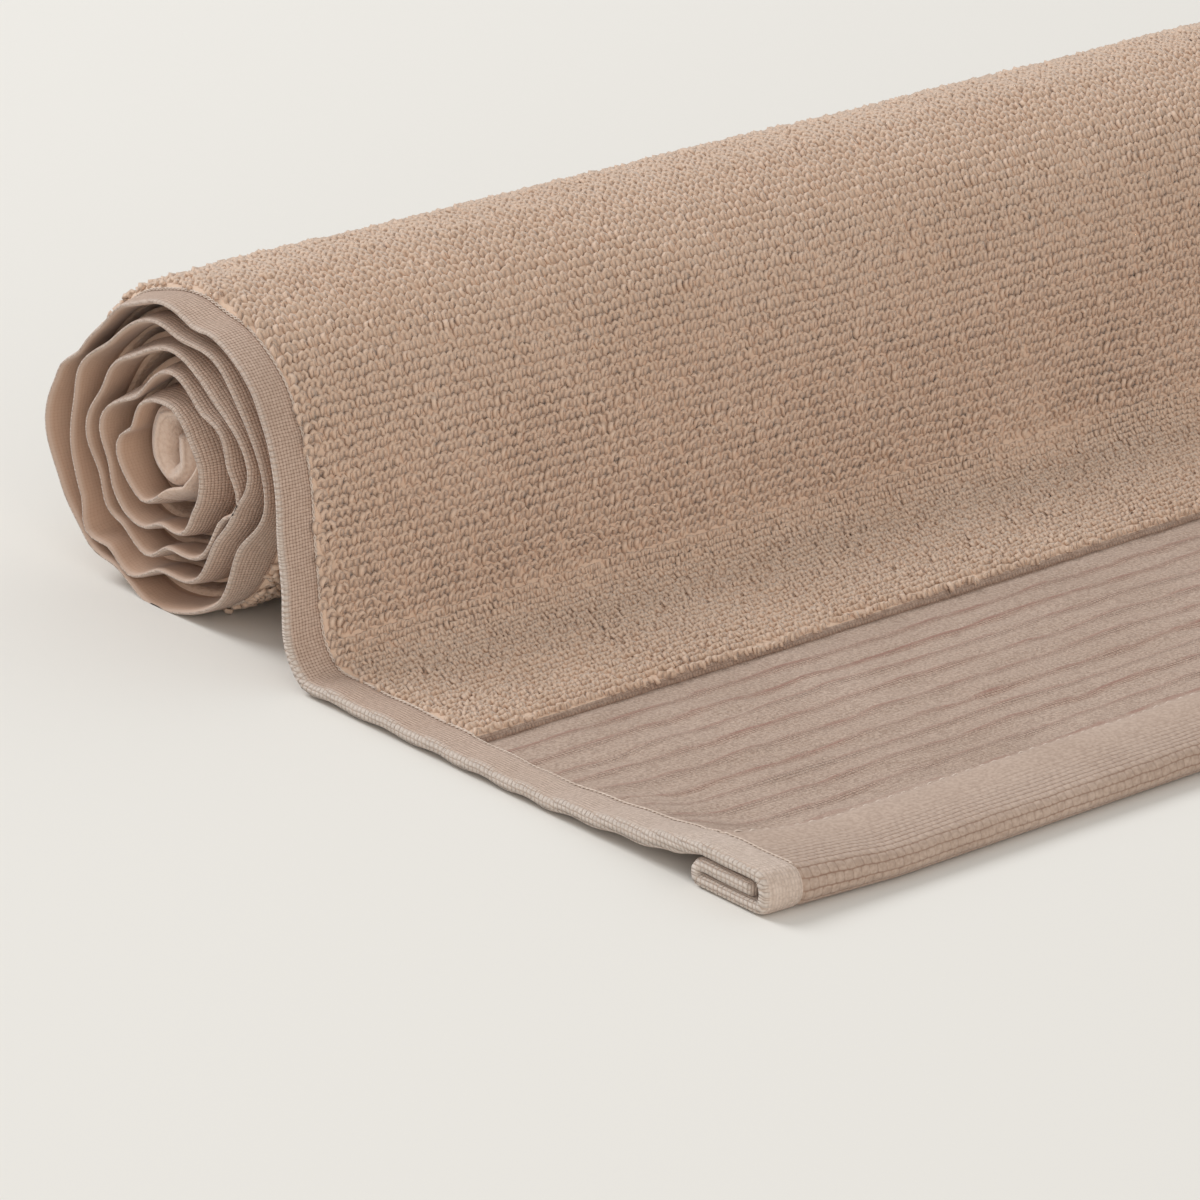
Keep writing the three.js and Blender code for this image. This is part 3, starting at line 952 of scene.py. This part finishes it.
def sheet_part(u, s, full):
    """Points, quads, map, slots and values of a closed stretch of cloth.

    full has a number for each row: 1, or less where the row is sunk, a little narrower and thinner.
    """
    grid_u, grid_s = np.meshgrid(u, s, indexing="ij")
    inset = 0.2 * (1 - full)
    narrow = np.clip(grid_u, inset, TOWEL_WIDTH - inset)
    thin = 0.85 + 0.15 * full
    upper = place(narrow, grid_s, outer_height(grid_u, grid_s) * thin)
    lower = place(narrow, grid_s, inner_height(grid_u, grid_s) * thin)
    rings = np.concatenate([upper, lower[:, ::-1]], axis=1)
    maps = np.stack([
        np.concatenate([grid_u, grid_u[:, ::-1]], axis=1),
        np.concatenate([grid_s, grid_s[:, ::-1]], axis=1),
    ], axis=-1)
    size = rings.shape[1]
    count = len(s)
    ring = np.arange(size)
    after = (ring + 1) % size
    base = (np.arange(len(u) - 1) * size)[:, None]
    quads = np.stack([base + ring, base + size + ring, base + size + after, base + after], axis=-1)
    quads = quads.reshape(-1, 4)
    k = np.arange(count - 1)
    near = np.stack([k, k + 1, size - 2 - k, size - 1 - k], axis=-1)
    far = near[:, ::-1] + (len(u) - 1) * size
    quads = np.concatenate([quads, near, far])
    inner = np.concatenate([np.tile(ring >= count, len(u) - 1), np.zeros(2 * (count - 1), bool)])
    maps = maps.reshape(-1, 2)
    middle_u, middle_s = maps[quads].mean(axis=1).T
    slots = cloth_slots(middle_u, middle_s, inner)
    return rings.reshape(-1, 3), quads, maps, slots, cloth_values(*maps.T)


def make_cloth():
    """The whole cloth: the hem and border, then the terry, the roll and its core."""
    front_rows = rows(FRONT_ROWS)
    roll_rows = rows(ROLL_ROWS)
    front_full = smooth((JOINT - front_rows) / 1.2)
    roll_full = 0.6 + 0.4 * smooth((roll_rows - JOINT + 1.2) / 2.4)
    front = sheet_part(columns(3.6, FINE_WIDTH, 13), front_rows, front_full)
    roll = sheet_part(columns(5.0, 36, 25), roll_rows, roll_full)
    points, quads, maps, slots, values = zip(front, roll)
    return mesh_object(
        "towel_cloth",
        np.concatenate(points),
        [quads[0], quads[1] + len(points[0])],
        np.concatenate(maps),
        CLOTH_FINISHES,
        np.concatenate(slots),
        {title: np.concatenate([part[title] for part in values]) for title in values[0]},
    )


# Yarn: many short tubes in one mesh. A section is where its corners lie across and up.
ROUND = [(1, 0), (0, 1), (-1, 0), (0, -1)]
LOOP_SECTION = [(-1.0, 0.3), (0.5, -0.87), (0.6, 0.72)]


def yarn_object(name, middle, across, up, uv, material, section=ROUND):
    """middle, across and up are arrays of tubes by rings by 3, and uv has one row a tube."""
    points = np.stack([middle + a * across + b * up for a, b in section], axis=2)
    count, rings, sides = points.shape[:3]
    points = points.reshape(-1, 3)
    points[:, 2] = np.maximum(points[:, 2], 0)
    side = np.arange(sides)
    after = (side + 1) % sides
    ring = (np.arange(rings - 1) * sides)[:, None]
    tube = np.stack([ring + side, ring + after, ring + sides + after, ring + sides + side], axis=-1)
    ends = np.array([side[::-1], sides * (rings - 1) + side])
    first = (np.arange(count) * rings * sides)[:, None, None]
    faces = [(first + part).reshape(-1, part.shape[1]) for part in (tube.reshape(-1, 4), ends)]
    return mesh_object(name, points, faces, np.repeat(uv, rings * sides, axis=0), [material])


def local_axes(s):
    """Unit vectors along the cloth and out of its outer face."""
    ty, tz = PATH.at(s, "ty"), PATH.at(s, "tz")
    zero = np.zeros_like(ty)
    along = np.stack([zero, ty, tz], axis=-1)
    out = np.stack([zero, -tz, ty], axis=-1)
    return along, out


def loop_places(u_from, u_to, s_from, s_to, pitch, rng):
    """Feet of the loops in a stretch of terry, in rows across the cloth."""
    count = max(1, round((u_to - u_from) / pitch))
    row_pitch = ROW_SHARE * pitch
    row = np.arange(s_from + row_pitch / 2, s_to, row_pitch)
    column = u_from + (np.arange(count) + 0.5) * (u_to - u_from) / count
    grid_u, grid_s = np.meshgrid(column, row)
    shift = rng.uniform(-0.5, 0.5, len(row))[:, None] * pitch
    bend = 0.55 * lattice_noise(grid_u / 17, grid_s / 13, SEED + 70)
    grid_u = grid_u + shift + rng.normal(0, LOOP_SCATTER, grid_u.shape)
    grid_s = grid_s + bend + rng.normal(0, LOOP_SCATTER, grid_s.shape)
    keep = (grid_u > u_from) & (grid_u < u_to) & (grid_s > s_from) & (grid_s < s_to)
    return grid_u[keep], grid_s[keep]


def unit(vectors):
    return vectors / np.linalg.norm(vectors, axis=-1, keepdims=True)


def loop_mess(u, s):
    """How untidy the loops are: most beside the side hems and at the border."""
    hem = np.exp(-(from_edge(u) - SIDE_HEM_WIDTH - 1.0) / 3.0)
    border = np.exp(-(s - TERRY_BEGINS) / 3.0)
    return np.clip(0.15 + hem + border, 0, 1)


def pile(name, u_from, u_to, s_from, s_to, pitch, arch, rng):
    """Arched loops of yarn that stand on the cloth and lean away from the free end.

    On the floor they are shorter and steeper. Beside the left hem they turn short near the crest.
    """
    u, s = loop_places(u_from, u_to, s_from, s_to, pitch, rng)
    count = len(u)
    along, out = local_axes(s)
    feet = place(u, s, outer_height(u, s) - 0.2)
    mess = loop_mess(u, s)
    lying = smooth((FLOOR_LOOPS_END - s) / 30)
    behind = smooth((s - SHORT_BEGINS) / 16) * np.exp(-(u - SIDE_HEM_WIDTH) / 12)
    lean = LOOP_LEAN - 14 * lying - 14 * mess * (1 - behind)
    lean = np.radians(lean + rng.normal(0, 4 + 6 * mess, count))
    sideways = rng.normal(0, 0.1 + 0.15 * mess, count)
    turn = rng.normal(0, 0.3 + 0.3 * np.maximum(mess, lying), count)
    size = pitch / LOOP_PITCH * (1 + rng.normal(0, 0.07, count) + 0.1 * mess)
    tall = LOOP_HEIGHT * (1 + rng.normal(0, 0.09, count) + 0.05 * mess - 0.36 * lying - 0.35 * behind)

    ex = np.array([1.0, 0, 0])
    rise = unit(out * np.cos(lean)[:, None] + along * np.sin(lean)[:, None] + ex * sideways[:, None])
    flat = unit(ex - rise * (rise @ ex)[:, None])
    wide = flat * np.cos(turn)[:, None] + np.cross(flat, rise) * np.sin(turn)[:, None]
    face = np.cross(wide, rise)
    shape = np.array(arch) * (LOOP_HALF_WIDTH, LOOP_HEIGHT)
    outward = unit(np.gradient(shape, axis=0) @ [[0, 1], [-1, 0]])
    middle = []
    across = []
    for (x, up), (nx, nup) in zip(np.array(arch), outward):
        middle.append(feet + wide * (x * LOOP_HALF_WIDTH * size)[:, None] + rise * (up * tall)[:, None])
        across.append((wide * nx + rise * nup) * (YARN_RADIUS * size)[:, None])
    up = np.repeat((face * (YARN_RADIUS * size)[:, None])[:, None], len(arch), axis=1)
    middle = np.stack(middle, axis=1)
    across = np.stack(across, axis=1)
    return yarn_object(name, middle, across, up, np.stack([u, s], axis=-1), LOOPS, LOOP_SECTION)


def side_sewing(name, side):
    """A two-ply thread in the furrow beside the side hem."""
    s = np.arange(SEWN_FROM, SEWN_TO, 0.55)
    strands = []
    for ply in (0, math.pi):
        phase = s * 2 * math.pi / TWIST + ply
        u = SIDE_HEM_WIDTH + 0.35 + 0.16 * np.cos(phase)
        u = u if side == "left" else TOWEL_WIDTH - u
        lift = 0.2 + 0.14 * np.sin(phase)
        strands.append(place(u, s, outer_height(u, s) + lift))
    middle = np.stack(strands)
    _, out = local_axes(s)
    across = np.broadcast_to(np.array([PLY_RADIUS, 0, 0]), middle.shape)
    up = np.broadcast_to(out * PLY_RADIUS, middle.shape)
    return yarn_object(name, middle, across, up, np.array([[0.0, 0.0], [1.0, 1.0]]), THREAD)


def hem_sewing(name, rng):
    """Stitches along the end hem's seam, sunk at both ends."""
    first = 3
    last = 143
    start = np.arange(first, last + 1) * STITCH
    t = np.linspace(0, 1, 6)
    u = start[:, None] + t * STITCH * STITCH_SHARE
    drift = 0.35 * lattice_noise(u / 21, np.zeros_like(u), SEED + 80)
    s = SEWING_LINE + drift + rng.normal(0, 0.12, len(start))[:, None]
    lift = -0.45 + 0.75 * np.sin(math.pi * t) ** 0.7
    middle = place(u, s, outer_height(u, s) + lift)
    along, out = local_axes(s)
    return yarn_object(name, middle, along * 0.3, out * 0.22, np.stack([start, start], axis=-1), THREAD)


# Stretches of pile: left and right, start and end along the cloth, pitch of the loops, their shape.
PILE_EDGE = SIDE_HEM_WIDTH + 0.7
PILE_FAR = TOWEL_WIDTH - PILE_EDGE
FLOOR_PITCH = 1.55
HIDDEN_PITCH = 2.0
PILE = {
    "pile_floor": (PILE_EDGE, FINE_WIDTH, FIRST_LOOPS, DRAPE_BEGINS, FLOOR_PITCH, PLAIN_ARCH),
    "pile_drape": (PILE_EDGE, FINE_WIDTH, DRAPE_BEGINS, TOP_BEGINS, LOOP_PITCH, ARCH),
    "pile_top": (PILE_EDGE, FINE_WIDTH, TOP_BEGINS, BACK_BEGINS, LOOP_PITCH, ARCH),
    "pile_wedge": (PILE_EDGE, WEDGE_WIDTH, UNDER_BEGINS, OUTSIDE_ENDS, LOOP_PITCH, ARCH),
    "pile_right": (FINE_WIDTH, PILE_FAR, FIRST_LOOPS, BACK_BEGINS, LOOP_PITCH, PLAIN_ARCH),
    "pile_back": (PILE_EDGE, PILE_FAR, BACK_BEGINS, UNDER_BEGINS, HIDDEN_PITCH, PLAIN_ARCH),
    "pile_under": (WEDGE_WIDTH, PILE_FAR, UNDER_BEGINS, OUTSIDE_ENDS, HIDDEN_PITCH, LOW_ARCH),
}


def towel_pieces():
    """The cloth, and what lies on it."""
    rng = np.random.default_rng(SEED)
    cloth = make_cloth()
    loops = [pile(name, *stretch, rng) for name, stretch in PILE.items()]
    sewing = [
        side_sewing("sewing_left", "left"),
        side_sewing("sewing_right", "right"),
        hem_sewing("sewing_end_hem", rng),
    ]
    return cloth, loops + sewing


# Floor, lights and camera. The floor and the lights are in metres: a light has its place, its
# size, its power and its colour.
FLOOR_HALF = 6.0
FLOOR_COLOUR = (0.78, 0.765, 0.73)
SKY_COLOUR = (1.0, 0.985, 0.96)
SKY_STRENGTH = 0.62
LIGHT_TARGET = (0, -0.05, 0)
LIGHTS = {
    "key": ((-1.1, 3.0, 3.0), 2.1, 104, (0.97, 0.985, 1.0)),
    "fill": ((-1.8, -3.2, 1.2), 2.8, 39, (1.0, 0.92, 0.83)),
}
CAMERA_PLACE = (-676.854, -964.950, 461.293)
CAMERA_DOWN_DEG = 21.329
CAMERA_RIGHT_DEG = 39.4997
LENS = 180
SENSOR_WIDTH = 36


def floor_finish():
    material = bpy.data.materials.new("floor_pale")
    material.use_nodes = True
    shader = material.node_tree.nodes["Principled BSDF"]
    shader.inputs["Base Color"].default_value = (*FLOOR_COLOUR, 1)
    shader.inputs["Roughness"].default_value = 0.9
    shader.inputs["Specular IOR Level"].default_value = 0.1
    return material


def make_floor():
    half = FLOOR_HALF
    corners = [(-half, -half, 0), (half, -half, 0), (half, half, 0), (-half, half, 0)]
    mesh = bpy.data.meshes.new("floor")
    mesh.from_pydata(corners, [], [(0, 1, 2, 3)])
    mesh.materials.append(floor_finish())
    floor = bpy.data.objects.new("floor", mesh)
    bpy.context.scene.collection.objects.link(floor)


def area_light(name, spot, size, power, colour):
    data = bpy.data.lights.new(name, "AREA")
    data.shape = "DISK"
    data.size = size
    data.energy = power
    data.color = colour
    lamp = bpy.data.objects.new(name, data)
    lamp.location = spot
    lamp.rotation_euler = (Vector(LIGHT_TARGET) - Vector(spot)).to_track_quat("-Z", "Y").to_euler()
    bpy.context.scene.collection.objects.link(lamp)


def make_light():
    world = bpy.data.worlds.new("studio")
    world.use_nodes = True
    back = world.node_tree.nodes["Background"]
    back.inputs["Color"].default_value = (*SKY_COLOUR, 1)
    back.inputs["Strength"].default_value = SKY_STRENGTH
    bpy.context.scene.world = world
    for name, light in LIGHTS.items():
        area_light(name, *light)


def make_camera():
    data = bpy.data.cameras.new("photo_side")
    data.lens = LENS
    data.sensor_width = SENSOR_WIDTH
    data.clip_start = 0.05
    camera = bpy.data.objects.new("photo_side", data)
    camera.location = in_frame(np.array(CAMERA_PLACE))
    camera.rotation_euler = (math.radians(90 - CAMERA_DOWN_DEG), 0, -math.radians(CAMERA_RIGHT_DEG))
    bpy.context.scene.collection.objects.link(camera)
    bpy.context.scene.camera = camera


make_camera()
make_light()
make_floor()
bpy.context.scene.view_settings.view_transform = "Standard"
cloth, details = towel_pieces()
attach(cloth, "root")
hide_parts("towel")
for piece in details:
    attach(piece, "root")

bpy.context.view_layer.update()
